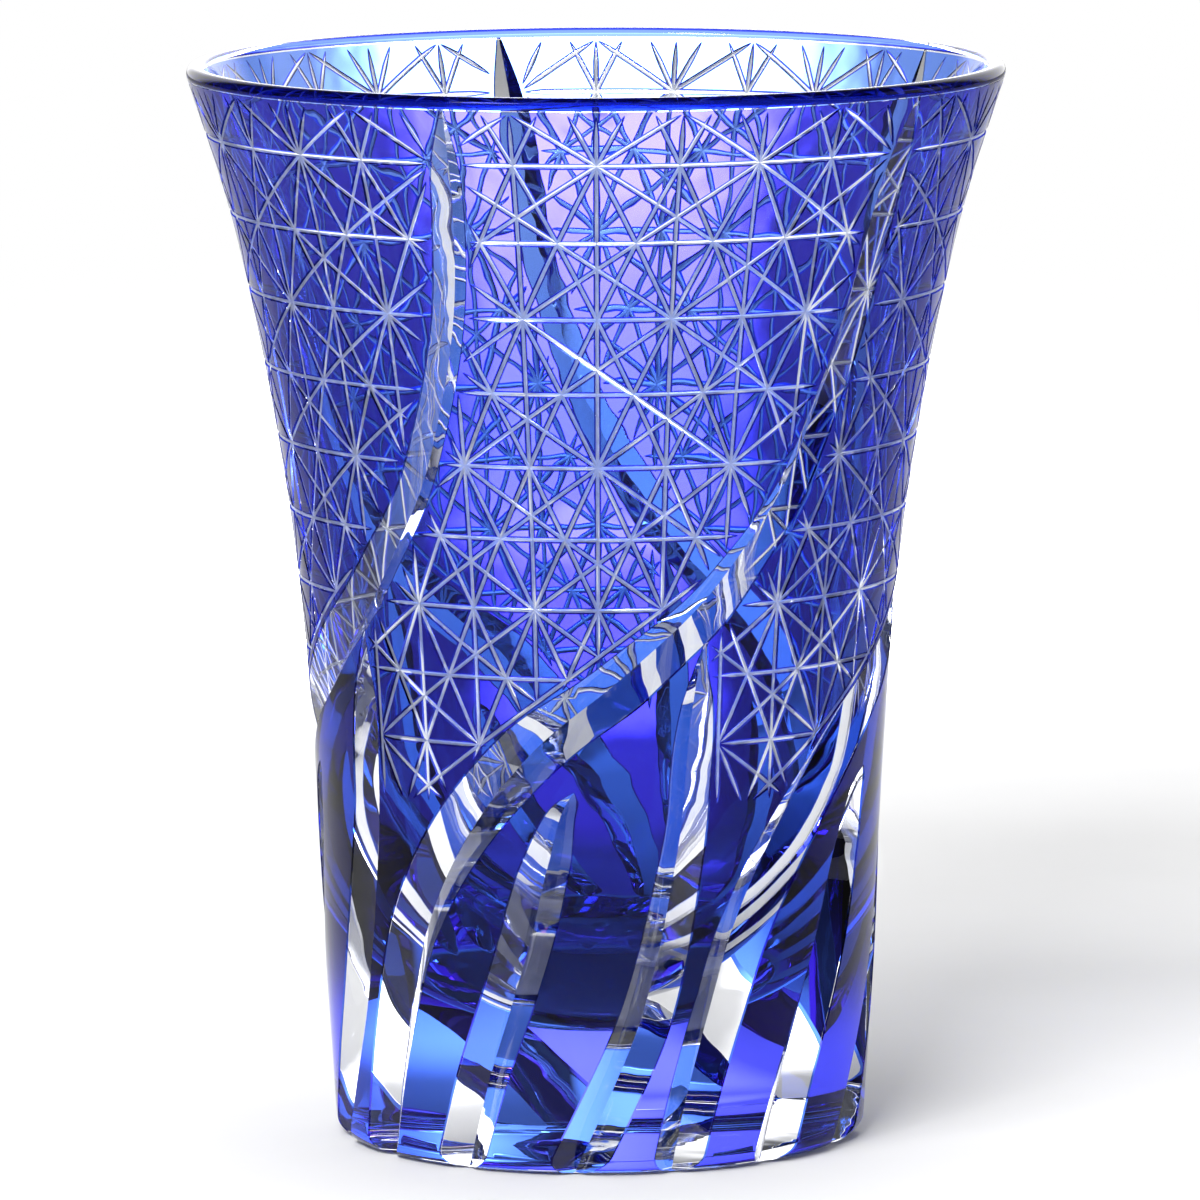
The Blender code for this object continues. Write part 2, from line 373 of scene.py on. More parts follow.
def bisectors(lines):
    """Valley lines where crossing cuts of the same depth meet."""
    crossings = {}
    for i, one in enumerate(lines):
        for other in lines[i + 1:]:
            turn = one.run[0] * other.run[1] - one.run[1] * other.run[0]
            if abs(turn) < 1e-9:
                continue
            gap = other.start - one.start
            a = (gap[0] * other.run[1] - gap[1] * other.run[0]) / turn
            b = (gap[0] * one.run[1] - gap[1] * one.run[0]) / turn
            if -0.001 < a < 1.001 and -0.001 < b < 1.001:
                point = one.start + a * one.run
                key = (round(point[0] * 50), round(point[1] * 50))
                crossings.setdefault(key, (point, {}))[1][id(one)] = (one, a)
                crossings[key][1][id(other)] = (other, b)
    found = []
    for point, members in crossings.values():
        scale = np.array(metric(point[1]))
        rays = []
        for line, share in members.values():
            bearing = np.arctan2(*(line.run * scale)[::-1])
            width = float(line.half_width(np.array([share]))[0])
            rays += [(bearing % (2 * pi), width), ((bearing + pi) % (2 * pi), width)]
        rays.sort()
        round_again = (rays[0][0] + 2 * pi, rays[0][1])
        for (bearing, width), (after, other_width) in zip(rays, rays[1:] + [round_again]):
            half_turn = (after - bearing) / 2
            if half_turn < 0.02 or half_turn > 1.55:
                continue
            reach = min(width, other_width) / sin(half_turn)
            toward = np.array([cos(bearing + half_turn), sin(bearing + half_turn)])
            found.append([tuple(point), tuple(point + toward * reach / scale)])
    return found


def junction(swoop, flame):
    """Creases where the tip of a flame runs into the swoop above it."""
    height = np.linspace(flame.high, flame.high - 0.004, 41)
    s_crease, s_reach, t_reach = swoop.crease(height), swoop.reach(height), flame.reach(height)
    t_crease, offset = flame.crease(height), flame.centre(height) - swoop.centre(height)
    spare = t_crease - s_crease * (1 - offset / s_reach)
    found = []
    for side in (-1, 1):
        share = spare / (t_crease - side * s_crease * t_reach / s_reach)
        keep = (share > 0) & (share < 1) & (offset < s_reach * 1.3)
        points = zip((flame.centre(height) + side * share * t_reach)[keep], row_of_height(height)[keep])
        found.append(list(points))
    return found


PLAN_SCALE = np.array([7.2, -7.6])      # lattice units to flat millimetres
TOP_ROW = float(row_of_height(WALL_TOP))
FOOT_ROW = float(row_of_height(0.0))


def flat_mesh(paths):
    """Triangles of one repeat of the wall that follow every path on it."""
    first, last = FIRST_COLUMN, FIRST_COLUMN + SECTOR
    columns = np.linspace(first, last, round(SECTOR / GRID_COLUMN) + 1)
    rows = np.linspace(TOP_ROW, FOOT_ROW, round((FOOT_ROW - TOP_ROW) / GRID_ROW) + 1)
    heel_rows = row_of_height(np.array([0.0016, 0.0012, 0.0008, 0.00055, 0.0002, 0.00008]))
    rows = np.concatenate([rows, heel_rows])
    points = [(c, r) for r in rows for c in columns]
    edges = []
    frame_rows = [TOP_ROW, FOOT_ROW]
    frame_rows += [float(row_of_height(z)) for z in SEAM_HEIGHTS]
    paths = list(paths)
    paths += [[(c, r) for c in columns] for r in frame_rows]
    paths += [[(c, r) for r in np.sort(np.concatenate([rows, frame_rows[2:]]))] for c in (first, last)]
    for path in paths:
        near = [first - 0.5 < c < last + 0.5 for c, r in path]
        for i in range(len(path) - 1):
            if near[i] or near[i + 1]:
                edges.append((len(points), len(points) + 1))
                points += [path[i], path[i + 1]]
    flat = [Vector((c * PLAN_SCALE[0], r * PLAN_SCALE[1])) for c, r in points]
    spots, _, faces, _, _, _ = delaunay_2d_cdt(flat, edges, [], 0, 2e-3)
    spots = np.array([tuple(p) for p in spots]) / PLAN_SCALE
    faces = np.array([tuple(f) for f in faces])
    middle = spots[faces].mean(axis=1)
    tiny = 1e-5
    inside = (middle[:, 0] > first + tiny) & (middle[:, 0] < last - tiny)
    inside &= (middle[:, 1] > TOP_ROW + tiny) & (middle[:, 1] < FOOT_ROW - tiny)
    faces = faces[inside]
    a, b, c = (spots[faces[:, i]] * PLAN_SCALE for i in range(3))
    area = (b - a)[:, 0] * (c - a)[:, 1] - (b - a)[:, 1] * (c - a)[:, 0]
    faces[area < 0] = faces[area < 0][:, ::-1]
    used = np.unique(faces)
    renumber = np.full(len(spots), -1)
    renumber[used] = np.arange(len(used))
    return spots[used], renumber[faces]


def seam_sides(spots):
    """Points on the two upright borders of one repeat, matched by height."""
    sides = []
    for border in (FIRST_COLUMN, FIRST_COLUMN + SECTOR):
        found = np.flatnonzero(np.abs(spots[:, 0] - border) < 1e-4)
        sides.append(found[np.argsort(spots[found, 1])])
    if len(sides[0]) != len(sides[1]):
        raise ValueError(f"the repeats do not meet: {len(sides[0])} and {len(sides[1])} points")
    return sides


def close_ring(spots, faces):
    """Five repeats of the flat mesh side by side, joined into a ring.

    Returns the points, the triangles and each point's number in one repeat."""
    left, right = seam_sides(spots)
    kept = np.setdiff1d(np.arange(len(spots)), right)
    number = np.full(len(spots), -1)
    number[kept] = np.arange(len(kept))
    ring_faces = []
    for k in range(REPEATS):
        here = number + k * len(kept)
        here[right] = number[left] + (k + 1) % REPEATS * len(kept)
        ring_faces.append(here[faces])
    ring_spots = np.concatenate([spots[kept] + (SECTOR * k, 0) for k in range(REPEATS)])
    return ring_spots, np.concatenate(ring_faces), np.tile(kept, REPEATS)


def place(column, row, depth):
    """Points in space: a depth under the un-rounded wall at lattice points."""
    height = height_of_row(row)
    radius = wall_radius(height) - depth
    angle = column * COLUMN
    return np.stack([radius * np.sin(angle), -radius * np.cos(angle), height], axis=-1)


def wall_normals(column, row, depth_of):
    """Unit normals of the surface that lies depth_of(column, row) deep."""
    step = 2e-4
    height = height_of_row(row)
    raised = row_of_height(height + step * 0.01)
    lowered = row_of_height(height - step * 0.01)
    by_angle = (depth_of(column + step, row) - depth_of(column - step, row)) / (2 * step * COLUMN)
    by_height = (depth_of(column, raised) - depth_of(column, lowered)) / (0.02 * step)
    radius = wall_radius(height) - depth_of(column, row)
    around, upward = by_angle / radius, by_height - wall_slope(height)
    angle = column * COLUMN
    sine, cosine = np.sin(angle), np.cos(angle)
    normal = np.stack([sine + around * cosine, -cosine + around * sine, upward], axis=-1)
    return normal / np.linalg.norm(normal, axis=-1, keepdims=True)


def heel_depth(column, row):
    return heel_drop(height_of_row(row))


class Wall:
    """The cut outside of the vase: triangles, depths and corner normals."""

    def __init__(self):
        swoop, flame, short = Sweep(LONG_SWOOP), Sweep(TOUCHING_FLAME), Sweep(SHORT_FLAME)
        lines = star_lines(swoop, flame)
        once = [path for part in (swoop, flame, short, *lines) for path in part.paths()]
        once += bisectors(lines) + junction(swoop, flame)
        shifts = range(-2 * SECTOR, 2 * SECTOR + 1, SECTOR)
        paths = [[(c + shift, r) for c, r in path] for shift in shifts for path in once]
        spots, faces = flat_mesh(paths)
        parts = [(part, shift) for shift in shifts for part in (swoop, flame, short, *lines)]
        column, row = spots.T
        middle = spots[faces].mean(axis=1)
        deepest, _ = self.deepest(parts, column, row)
        face_depth, which = self.deepest(parts, *middle.T)
        drop = heel_depth(column, row)
        which[face_depth < heel_depth(*middle.T)] = -1
        snap = 4e-6
        deepest = np.where(np.abs(deepest - drop) < snap, drop, np.maximum(deepest, drop))
        deepest = np.where(np.abs(deepest - drop - CASING) < snap, drop + CASING, deepest)
        normals = np.zeros((len(faces), 3, 3))
        for index in np.unique(which):
            chosen = np.flatnonzero(which == index)
            corners = spots[faces[chosen]]
            if index < 0:
                normals[chosen] = wall_normals(corners[..., 0], corners[..., 1], heel_depth)
                continue
            part, shift = parts[index]
            side = part.side(middle[chosen, 0] - shift, middle[chosen, 1])[:, None]
            normals[chosen] = wall_normals(
                corners[..., 0] - shift, corners[..., 1], lambda c, r: part.flank(c, r, side)
            )
            turn = shift * COLUMN
            x, y = normals[chosen, :, 0].copy(), normals[chosen, :, 1].copy()
            normals[chosen, :, 0] = x * cos(turn) - y * sin(turn)
            normals[chosen, :, 1] = x * sin(turn) + y * cos(turn)
        heights = height_of_row(middle[:, 1])
        covered = (heights < CASING_TOP) & (heights > CASING_FOOT)
        cased = covered & (face_depth < heel_depth(*middle.T) + CASING)
        self.swoop, self.flame = swoop, flame
        self.spots, self.faces, origin = close_ring(spots, faces)
        self.depth = deepest[origin]
        self.normals = np.concatenate([self.turned(normals, k) for k in range(REPEATS)])
        self.cased = np.tile(cased, REPEATS)
        fine = np.array([isinstance(part, Line) for part, _ in parts] + [False])
        self.fine = np.tile(fine[which], REPEATS)

    @staticmethod
    def deepest(parts, column, row):
        best, which = np.full(len(column), -1.0), np.full(len(column), -1)
        for index, (part, shift) in enumerate(parts):
            depth = part.depth(column - shift, row)
            deeper = depth > best
            best[deeper] = depth[deeper]
            which[deeper] = index
        return best, which

    @staticmethod
    def turned(normals, repeat):
        turn = repeat * SECTOR * COLUMN
        result = normals.copy()
        result[..., 0] = normals[..., 0] * cos(turn) - normals[..., 1] * sin(turn)
        result[..., 1] = normals[..., 0] * sin(turn) + normals[..., 1] * cos(turn)
        return result

    def panel(self):
        """Which panel each triangle belongs to: 0 to 4 star, 5 to 9 fork."""
        middle = self.spots[self.faces].mean(axis=1)
        column, row = middle.T
        height = height_of_row(row)
        index = np.floor((column - self.swoop.centre(height)) / SECTOR).astype(int)
        beside = column < self.flame.centre(height) + index * SECTOR
        fork = beside & (height < self.flame.high)
        return index % REPEATS + REPEATS * fork


def make_mesh(name, points, faces, slots, normals, materials):
    """A mesh object from arrays, with a material slot per face and a normal per corner."""
    mesh = bpy.data.meshes.new(name)
    mesh.from_pydata(points.tolist(), [], [list(face) for face in faces])
    for material in materials:
        mesh.materials.append(material)
    mesh.polygons.foreach_set("material_index", np.asarray(slots, dtype=np.int32))
    mesh.shade_smooth()
    mesh.normals_split_custom_set(np.asarray(normals).reshape(-1, 3).tolist())
    mesh.update()
    piece = bpy.data.objects.new(name, mesh)
    bpy.context.scene.collection.objects.link(piece)
    return piece


def lip_rows():
    """Radius, height and outward direction over the rounded lip."""
    outer = -np.arctan(float(wall_slope(WALL_TOP)))
    inner = pi - np.arctan(float(cavity_slope(CAVITY_RIM)))
    centre = float(wall_radius(WALL_TOP)) - LIP_RADIUS * cos(outer)
    rows = []
    for a in np.linspace(outer, inner, LIP_STEPS + 1):
        radius, height = centre + LIP_RADIUS * cos(a), HEIGHT - LIP_RADIUS * (1 - sin(a))
        rows.append((radius, height, cos(a), sin(a)))
    return rows


def cavity_radius(height):
    return curve(CAVITY_PROFILE, height)


def cavity_slope(height):
    return (cavity_radius(height + 1e-4) - cavity_radius(height - 1e-4)) / 2e-4


def bowl_point(share):
    """Radius and height of the bowl a share of the way out along its profile."""
    return float(curve(BOWL_RADII, share)), float(curve(BOWL_HEIGHTS, share))


def cavity_rows():
    """The same down the inside wall and round the bowl to its middle."""
    rows = []
    for height in np.arange(CAVITY_RIM, CAVITY_PROFILE[0][0], -CAVITY_STEP):
        lean = np.arctan(float(cavity_slope(height)))
        rows.append((float(cavity_radius(height)), height, -cos(lean), sin(lean)))
    for bearing in np.linspace(1, 0, 41):
        radius, height = bowl_point(bearing)
        ahead, behind = bowl_point(bearing + 1e-3), bowl_point(bearing - 1e-3)
        out, up = behind[1] - ahead[1], ahead[0] - behind[0]
        size = np.hypot(out, up)
        rows.append((radius if bearing else 0.0, height, out / size, up / size))
    return rows


def foot_rows():
    """The same from the ground foot ring in over the shallow hollow."""
    edge = float(wall_radius(0.0)) - HEEL_RADIUS
    rows = [(radius, 0.0, 0.0, -1.0) for radius in (edge, (edge + PUNT_RADIUS) / 2, PUNT_RADIUS + 0.0004)]
    for share in np.linspace(0, 1, 13):
        radius = PUNT_RADIUS * (1 - share)
        lean = 2 * PUNT_RISE * (1 - share) / PUNT_RADIUS
        rows.append((radius, PUNT_RISE * share * (2 - share), -sin(lean), -cos(lean)))
    return rows


class Builder:
    """Collects points, faces, corner normals and material slots of one mesh."""

    def __init__(self, points):
        self.points = [points]
        self.count = len(points)
        self.faces, self.normals, self.slots = [], [], []

    def add(self, faces, normals, slots):
        self.faces += [tuple(face) for face in faces]
        self.normals.append(np.asarray(normals).reshape(-1, 3))
        self.slots += list(slots)

    def turn(self, first_ring, columns, rows, upward, slots=()):
        """Rings of quads from an existing ring of points, the first row, on through the rest."""
        angle = columns * COLUMN
        across = np.stack([np.sin(angle), -np.cos(angle)], 1)
        count = len(columns)
        after = np.roll(np.arange(count), -1)
        here = np.array(first_ring)
        facing = np.column_stack([across * rows[0][2], np.full(count, rows[0][3])])
        for step, (radius, height, out, up) in enumerate(rows[1:]):
            slot = slots[step] if step < len(slots) else 0
            next_facing = np.column_stack([across * out, np.full(count, up)])
            if radius > 1e-9:
                points = np.column_stack([across * radius, np.full(count, height)])
                there = self.count + np.arange(count)
                corners = [here, here[after], there[after], there]
                directions = [facing, facing[after], next_facing[after], next_facing]
            else:
                points = np.array([[0.0, 0.0, height]])
                there = np.full(count, self.count)
                corners, directions = [here, here[after], there], [facing, facing[after], next_facing]
            if not upward:
                corners, directions = corners[::-1], directions[::-1]
            self.points.append(points)
            self.count += len(points)
            self.add(np.column_stack(corners), np.stack(directions, 1), [slot] * count)
            here, facing = there, next_facing

    def piece(self, name, materials):
        return make_mesh(
            name, np.concatenate(self.points), self.faces, self.slots,
            np.concatenate(self.normals), materials,
        )


def border(wall, row):
    """The ring's points on one of its two open edges, in order round the vase."""
    found = np.flatnonzero(np.abs(wall.spots[:, 1] - row) < 1e-5)
    return found[np.argsort(wall.spots[found, 0])]


def crystal(wall, materials):
    """The clear body, with the cuts in it and its outside let in by the casing."""
    column, row = wall.spots.T
    height, drop = height_of_row(row), heel_depth(column, row)
    covered = (height < CASING_TOP + 1e-7) & (height > CASING_FOOT - 1e-7)
    depth = np.where(covered, np.maximum(wall.depth, drop + CASING + SEAM), wall.depth)
    depth[border(wall, TOP_ROW)] = 0
    depth[border(wall, FOOT_ROW)] = HEEL_RADIUS
    body = Builder(place(column, row, depth))
    middle = height_of_row(wall.spots[wall.faces].mean(axis=1)[:, 1])
    ledge = (middle < CASING_TOP + LEDGE) & (middle > CASING_TOP)
    ledge |= (middle < CASING_FOOT) & (middle > CASING_FOOT - LEDGE)
    slots = np.where(wall.fine, 2, 0)
    slots[wall.cased | ledge] = 1
    body.add(wall.faces, wall.normals, slots)
    lip, foot = border(wall, TOP_ROW), border(wall, FOOT_ROW)
    body.turn(lip, wall.spots[lip, 0], lip_rows() + cavity_rows(), True, [3] * LIP_CASED)
    body.turn(foot, wall.spots[foot, 0], foot_rows(), False)
    return body.piece("crystal_body_cut", materials)


def panel(wall, chosen, name, materials):
    """One island of the casing: closed tiles between the cuts."""
    faces, normals, fine = wall.faces[chosen], wall.normals[chosen], wall.fine[chosen]
    used = np.unique(faces)
    number = np.full(len(wall.spots), -1)
    number[used] = np.arange(len(used))
    column, row = wall.spots[used].T
    under = heel_depth(column, row) + CASING
    depth = np.minimum(wall.depth[used], under)
    thick = depth < under - 1e-7
    tiles = Builder(place(column, row, depth))
    tiles.points.append(place(column[thick], row[thick], under[thick]))
    inner = np.arange(len(used))
    inner[thick] = len(used) + np.arange(thick.sum())
    faces = number[faces]
    solid = thick[faces].any(axis=1)
    faces, normals = faces[solid], normals[solid]
    tiles.add(faces, normals, np.where(fine[solid], 2, 0))
    backs = inner[faces][:, ::-1]
    tiles.add(backs, -normals[:, ::-1], [1] * len(faces))
    edges = np.concatenate([faces[:, (0, 1)], faces[:, (1, 2)], faces[:, (2, 0)]])
    known = {tuple(edge) for edge in edges}
    for a, b in edges:
        if (b, a) in known or not (thick[a] or thick[b]):
            continue
        ring = [b, a] + ([inner[a]] if thick[a] else []) + ([inner[b]] if thick[b] else [])
        tiles.add([ring], np.zeros((len(ring), 3)), [1])
    return tiles.piece(name, materials)


# ---- materials ----------------------------------------------------------------
GLASS_IOR = 1.545
SLANT_DEPTH = 1.5         # how fast a slanting view deepens the casing
CASING_SINGLE = (         # height, colour of light that has crossed one wall; lighter at the foot and darkest near 22 mm up, painted light and shade for light focused behind the foot and for the shaded floor seen through the lower wall
    (0.012, (0.09, 0.22, 0.95, 1)),
    (0.022, (0.025, 0.09, 0.60, 1)),
    (0.045, (0.035, 0.12, 0.66, 1)),
    (0.075, (0.070, 0.19, 0.76, 1)),
    (0.112, (0.18, 0.33, 0.88, 1)),
)
CASING_SECOND = (         # the same for the second wall that it crosses, with the same painted light and shade low down
    (0.012, (0.90, 0.42, 0.98, 1)),
    (0.022, (0.32, 0.07, 0.32, 1)),
    (0.045, (0.28, 0.08, 0.35, 1)),
    (0.075, (0.20, 0.085, 0.39, 1)),
    (0.112, (0.17, 0.08, 0.46, 1)),
)
RIM_TINT = (0.12, 0.11, 0.45)
SEAMS_IN_ONE_WALL = 3.5   # light that has crossed more seams than this is in the far wall
OUTER_SHEEN = 1.20        # polished casing mirrors a little less than bare crystal


class Nodes:
    """The node tree of a new material or world, built a node at a time."""

    def __init__(self, name, owners=bpy.data.materials):
        self.owner = owners.new(name)
        self.owner.use_nodes = True
        self.tree = self.owner.node_tree
        self.tree.nodes.clear()

    def plug(self, socket, value):
        if isinstance(value, bpy.types.NodeSocket):
            self.tree.links.new(value, socket)
        else:
            socket.default_value = value

    def add(self, kind, inputs=None, **settings):
        node = self.tree.nodes.new(kind)
        for name, value in settings.items():
            setattr(node, name, value)
        for name, value in (inputs or {}).items():
            self.plug(node.inputs[name], value)
        return node

    def math(self, operation, a, b=0.0, clamp=False):
        node = self.add("ShaderNodeMath", {0: a, 1: b}, operation=operation, use_clamp=clamp)
        return node.outputs[0]

    def mix_colour(self, share, a, b):
        node = self.add("ShaderNodeMix", data_type="RGBA")
        for name, value in (("Factor_Float", share), ("A_Color", a), ("B_Color", b)):
            self.plug(next(s for s in node.inputs if s.identifier == name), value)
        return next(s for s in node.outputs if s.identifier == "Result_Color")

    def ramp(self, height, table):
        """A colour from a table of heights and colours, evenly blended between them."""
        colour = table[0][1]
        for (low, _), (high, following) in zip(table, table[1:]):
            share = self.add(
                "ShaderNodeMapRange",
                {"Value": height, "From Min": low, "From Max": high},
                interpolation_type="SMOOTHSTEP",
            )
            colour = self.mix_colour(share.outputs[0], colour, following)
        return colour

    def fade(self, value, inner, outer):
        """One up to an inner value, then down to nought at an outer one."""
        node = self.add(
            "ShaderNodeMapRange",
            {"Value": value, "From Min": outer, "From Max": inner},
            interpolation_type="SMOOTHSTEP",
        )
        return node.outputs[0]

    def multiply_colour(self, a, b):
        node = self.add("ShaderNodeVectorMath", {0: a, 1: b}, operation="MULTIPLY")
        return node.outputs[0]

    def mix_shader(self, share, a, b):
        return self.add("ShaderNodeMixShader", {0: share, 1: a, 2: b}).outputs[0]

    def output(self, shader, kind="ShaderNodeOutputMaterial"):
        self.add(kind, {"Surface": shader})
        return self.owner


def polish(nodes, scale, distance):
    """The slight unevenness that hand polishing leaves, as a normal."""
    place = nodes.add("ShaderNodeTexCoord").outputs["Object"]
    noise = nodes.add("ShaderNodeTexNoise", {"Vector": place, "Scale": scale, "Detail": 1.0})
    bump = nodes.add(
        "ShaderNodeBump", {"Height": noise.outputs["Fac"], "Distance": distance, "Strength": 1.0}
    )
    return bump.outputs["Normal"]


def crystal_material():
    nodes = Nodes("clear_crystal")
    normal = polish(nodes, 220.0, 0.00004)
    glass = nodes.add(
        "ShaderNodeBsdfGlass",
        {"Color": (0.985, 0.99, 1.0, 1), "IOR": GLASS_IOR, "Roughness": 0.0, "Normal": normal},
    )
    return nodes.output(glass.outputs[0])


def casing_material(name, thick=False):
    """Cobalt glass, darker where it is drawn thick over the lip."""
    nodes = Nodes(name)
    place = nodes.add("ShaderNodeTexCoord").outputs["Object"]
    height = nodes.add("ShaderNodeSeparateXYZ", {"Vector": place}).outputs["Z"]
    streaks = nodes.add("ShaderNodeTexNoise", {"Vector": place, "Scale": 30.0, "Detail": 2.0})
    drift = nodes.math("MULTIPLY", nodes.math("SUBTRACT", streaks.outputs["Fac"], 0.5), 0.010)
    level = nodes.math("ADD", height, drift)
    single = nodes.ramp(level, CASING_SINGLE)
    second = nodes.ramp(level, CASING_SECOND)
    crossed = nodes.add("ShaderNodeLightPath").outputs["Transparent Depth"]
    beyond = nodes.math("GREATER_THAN", crossed, SEAMS_IN_ONE_WALL)
    colour = nodes.mix_colour(beyond, single, second)
    if thick:
        colour = nodes.multiply_colour(colour, RIM_TINT)
    slant = nodes.add("ShaderNodeLayerWeight", {"Blend": 0.5}).outputs["Facing"]
    slant = nodes.math("MULTIPLY", nodes.math("POWER", slant, 1.6), SLANT_DEPTH, clamp=True)
    squared = nodes.multiply_colour(colour, colour)
    colour = nodes.mix_colour(slant, colour, squared)
    normal = polish(nodes, 150.0, 0.00001)
    refraction = nodes.add(
        "ShaderNodeBsdfRefraction",
        {"Color": colour, "IOR": GLASS_IOR, "Roughness": 0.0, "Normal": normal},
    )
    behind = nodes.add("ShaderNodeNewGeometry").outputs["Backfacing"]
    tint = nodes.mix_colour(behind, (1, 1, 1, 1), colour)
    gloss = nodes.add(
        "ShaderNodeBsdfAnisotropic", {"Color": tint, "Roughness": 0.0, "Normal": normal}
    )
    sheen = nodes.math("ADD", nodes.math("MULTIPLY", behind, GLASS_IOR - OUTER_SHEEN), OUTER_SHEEN)
    fresnel = nodes.add("ShaderNodeFresnel", {"IOR": sheen, "Normal": normal})
    return nodes.output(
        nodes.mix_shader(fresnel.outputs[0], refraction.outputs[0], gloss.outputs[0])
    )


def ground_glass(nodes, colour, smoothest, roughest):
    """A gritty noise, and glass whose roughness follows it."""
    place = nodes.add("ShaderNodeTexCoord").outputs["Object"]
    grit = nodes.add("ShaderNodeTexNoise", {"Vector": place, "Scale": 900.0, "Detail": 2.0})
    rough = nodes.add(
        "ShaderNodeMapRange",
        {"Value": grit.outputs["Fac"], "To Min": smoothest, "To Max": roughest},
    ).outputs[0]
    glass = nodes.add(
        "ShaderNodeBsdfGlass", {"Color": colour, "IOR": GLASS_IOR, "Roughness": rough}
    )
    return grit.outputs["Fac"], glass.outputs[0]


def ground_material():
    """The fine cuts, ground and only half polished, so that they scatter some light."""
    nodes = Nodes("ground_cuts")
    grit, glass = ground_glass(nodes, (0.97, 0.98, 1.0, 1), 0.05, 0.20)
    tint = (0.76, 0.84, 1.0, 1)
    matt = nodes.add("ShaderNodeBsdfDiffuse", {"Color": tint})
    milky = nodes.add("ShaderNodeBsdfTranslucent", {"Color": tint})
    scatter = nodes.mix_shader(0.6, matt.outputs[0], milky.outputs[0])
    share = nodes.add(
        "ShaderNodeMapRange",
        {"Value": grit, "To Min": 0.22, "To Max": 0.54},
    ).outputs[0]
    return nodes.output(nodes.mix_shader(share, glass, scatter))


def ground_cobalt_material():
    """The same where a fine cut passes through the casing."""
    nodes = Nodes("ground_cobalt")
    return nodes.output(ground_glass(nodes, (0.06, 0.10, 0.75, 1), 0.10, 0.25)[1])


def seam_material():
    """Where the casing is fused to the crystal: no surface that light can see."""
    nodes = Nodes("fused_seam")
    clear = nodes.add("ShaderNodeBsdfTransparent", {"Color": (1, 1, 1, 1)})
    return nodes.output(clear.outputs[0])


PAINTED_FLOOR_LIGHT = (            # painted pool of light: a glowing slot in the floor, no lamp, standing in for light on the floor behind the vase; y where it starts and ends, half width, radiance
    (0.045, 0.20, 0.018, 2.0),
    (0.15, 0.42, 0.026, 14.0),
    (0.30, 0.78, 0.042, 20.0),
    (0.60, 1.30, 0.056, 9.0),
)
BACKDROP_START, BACKDROP_REACH = 0.25, 0.90      # where the board turns into the white backdrop


def floor_material():
    """Pale studio board, with a painted pool of light behind the vase: a glowing slot, no lamp, that
    shines through the glass.
    """
    nodes = Nodes("studio_floor")
    place = nodes.add("ShaderNodeTexCoord").outputs["Object"]
    noise = nodes.add("ShaderNodeTexNoise", {"Vector": place, "Scale": 40.0, "Detail": 3.0})
    colour = nodes.mix_colour(noise.outputs["Fac"], (0.90, 0.90, 0.905, 1), (0.93, 0.93, 0.935, 1))
    matt = nodes.add("ShaderNodeBsdfDiffuse", {"Color": colour})
    along = nodes.add("ShaderNodeSeparateXYZ", {"Vector": place})
    aside = nodes.math("ABSOLUTE", along.outputs["X"])
    painted_glow = 0.0
    for start, end, half, radiance in PAINTED_FLOOR_LIGHT:
        middle = nodes.math("SUBTRACT", along.outputs["Y"], (start + end) / 2)
        length = nodes.fade(nodes.math("ABSOLUTE", middle), (end - start) * 0.35, (end - start) / 2)
        width = nodes.fade(aside, half * 0.55, half * 1.35)
        part = nodes.math("MULTIPLY", nodes.math("MULTIPLY", length, width), radiance)
        painted_glow = nodes.math("ADD", part, painted_glow)
    # painted pool of light: emission that makes the floor glow behind the vase
    painted_pool = nodes.add("ShaderNodeEmission", {"Color": (1, 1, 1, 1), "Strength": painted_glow})
    both = nodes.add("ShaderNodeAddShader", {0: matt.outputs[0], 1: painted_pool.outputs[0]})
    reach = nodes.add("ShaderNodeVectorMath", {0: place}, operation="LENGTH").outputs["Value"]
    faraway = nodes.fade(reach, BACKDROP_REACH, BACKDROP_START)
    direct = nodes.add("ShaderNodeLightPath").outputs["Is Camera Ray"]
    backdrop = nodes.add("ShaderNodeEmission", {"Color": (1, 1, 1, 1), "Strength": 1.0})
    share = nodes.math("MULTIPLY", direct, faraway)
    return nodes.output(nodes.mix_shader(share, both.outputs[0], backdrop.outputs[0]))


# ---- the vase -------------------------------------------------------------------
clear, seam = crystal_material(), seam_material()
cobalt, cobalt_rim = casing_material("cobalt_casing"), casing_material("cobalt_rim", thick=True)
ground, ground_cobalt = ground_material(), ground_cobalt_material()
wall = Wall()
body_piece = crystal(wall, (clear, seam, ground, cobalt_rim))
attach(body_piece, "root")
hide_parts("crystal_body")
which = wall.panel()
for index in range(2 * REPEATS):
    kind, number = ("star", "fork")[index // REPEATS], index % REPEATS + 1
    chosen = wall.cased & (which == index)
    piece = panel(wall, chosen, f"{kind}_casing_{number}", (cobalt, seam, ground_cobalt))
    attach(piece, "root")
    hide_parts(f"{kind}_panel_{number}")

# ---- floor, camera and light -----------------------------------------------------
floor_mesh = bpy.data.meshes.new("floor")
FLOOR_HALF, FLOOR_HEIGHT = 3.0, -0.0002
floor_mesh.from_pydata(
    [(x * FLOOR_HALF, y * FLOOR_HALF, FLOOR_HEIGHT) for x, y in ((-1, -1), (1, -1), (1, 1), (-1, 1))],
    [],
    [(0, 1, 2, 3)],
)
floor_mesh.materials.append(floor_material())
floor = bpy.data.objects.new("floor", floor_mesh)
bpy.context.scene.collection.objects.link(floor)

CAMERA_PLACE = Vector((0.000187, -1.1291, 0.2133))
CAMERA_PITCH, CAMERA_ROLL = 0.138, -0.0042
camera_data = bpy.data.cameras.new("camera")
camera_data.sensor_width = 36.0
camera_data.lens = 324.0
camera = bpy.data.objects.new("camera", camera_data)
camera.location = CAMERA_PLACE
turn = Euler((pi / 2 - CAMERA_PITCH, 0, 0)).to_matrix() @ Euler((0, 0, CAMERA_ROLL)).to_matrix()
camera.rotation_euler = turn.to_euler()
bpy.context.scene.collection.objects.link(camera)
bpy.context.scene.camera = camera

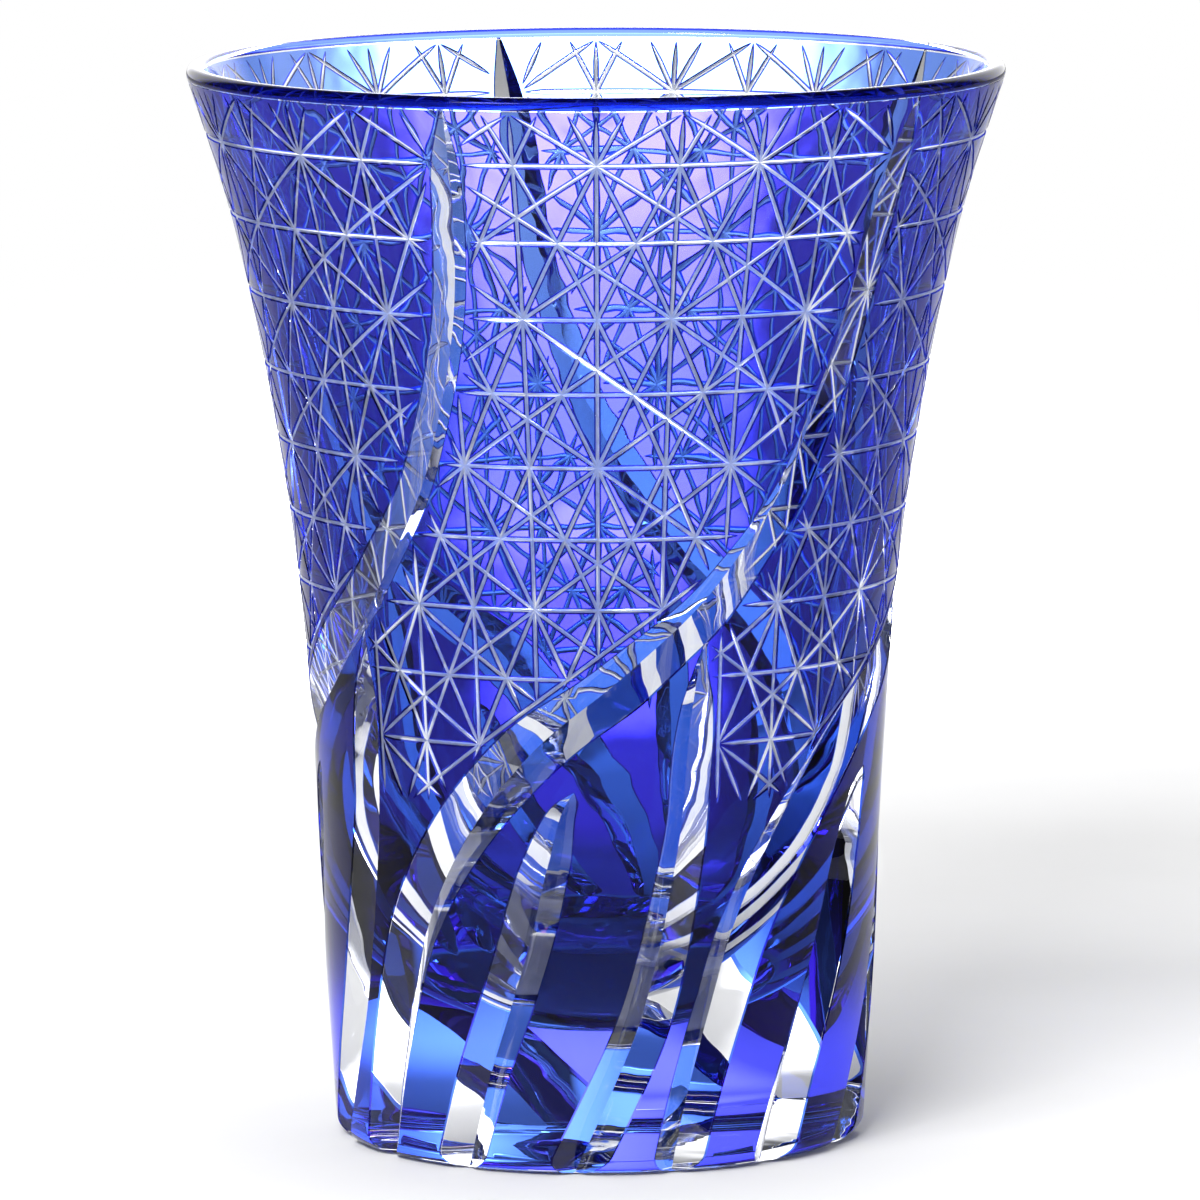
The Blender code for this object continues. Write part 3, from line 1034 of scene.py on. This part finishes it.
WORLD_BASE = 0.07         # radiance of the dark studio all round
WORLD_PATCHES = (         # direction, inner and outer angle, radiance of the reflectors in it
    ((0.30, 1.0, 0.22), 16, 32, 1.7),
    ((-0.25, 1.0, 0.22), 14, 28, 1.5),
    ((1.0, 0.25, 0.3), 10, 18, 0.9),
    ((-1.0, 0.0, 0.3), 8, 14, 0.3),
    ((-0.45, -0.55, 0.8), 7, 10, 12.0),
)


def studio_world():
    """A dark studio with soft reflectors, and a white backdrop where it is seen directly."""
    nodes = Nodes("studio", bpy.data.worlds)
    where = nodes.add("ShaderNodeTexCoord").outputs["Generated"]
    strength = WORLD_BASE
    for direction, inner, outer, radiance in WORLD_PATCHES:
        toward = nodes.add(
            "ShaderNodeVectorMath",
            {0: where, 1: Vector(direction).normalized()},
            operation="DOT_PRODUCT",
        )
        patch = nodes.fade(toward.outputs["Value"], cos(radians(inner)), cos(radians(outer)))
        strength = nodes.math("ADD", strength, nodes.math("MULTIPLY", patch, radiance))
    direct = nodes.add("ShaderNodeLightPath").outputs["Is Camera Ray"]
    strength = nodes.math("MAXIMUM", strength, direct)
    background = nodes.add("ShaderNodeBackground", {"Color": (1, 1, 1, 1), "Strength": strength})
    return nodes.output(background.outputs[0], "ShaderNodeOutputWorld")


bpy.context.scene.world = studio_world()


def area_light(name, place, target, width, depth, power, spread=180):
    data = bpy.data.lights.new(name, "AREA")
    data.shape = "RECTANGLE"
    data.size, data.size_y, data.energy = width, depth, power
    data.spread = radians(spread)
    lamp = bpy.data.objects.new(name, data)
    lamp.location = place
    lamp.rotation_euler = (Vector(target) - Vector(place)).to_track_quat("-Z", "Y").to_euler()
    bpy.context.scene.collection.objects.link(lamp)
    lamp.visible_camera = False
    lamp.visible_glossy = False
    lamp.visible_transmission = False


area_light("key", (-0.30, -0.95, 0.66), (0, 0, 0.03), 0.45, 0.28, 11.5)
area_light("wash", (0.0, 0.95, 0.5), (0, 0.95, 0), 0.42, 1.2, 1.15, spread=55)
area_light("near", (0.0, 0.15, 0.5), (0, 0.15, 0), 0.40, 0.7, 0.46, spread=60)

scene = bpy.context.scene
scene.view_settings.view_transform = "Standard"
scene.cycles.sample_clamp_indirect = 0.0
scene.cycles.max_bounces = 32
scene.cycles.transmission_bounces = 24
scene.cycles.glossy_bounces = 16
scene.cycles.transparent_max_bounces = 40
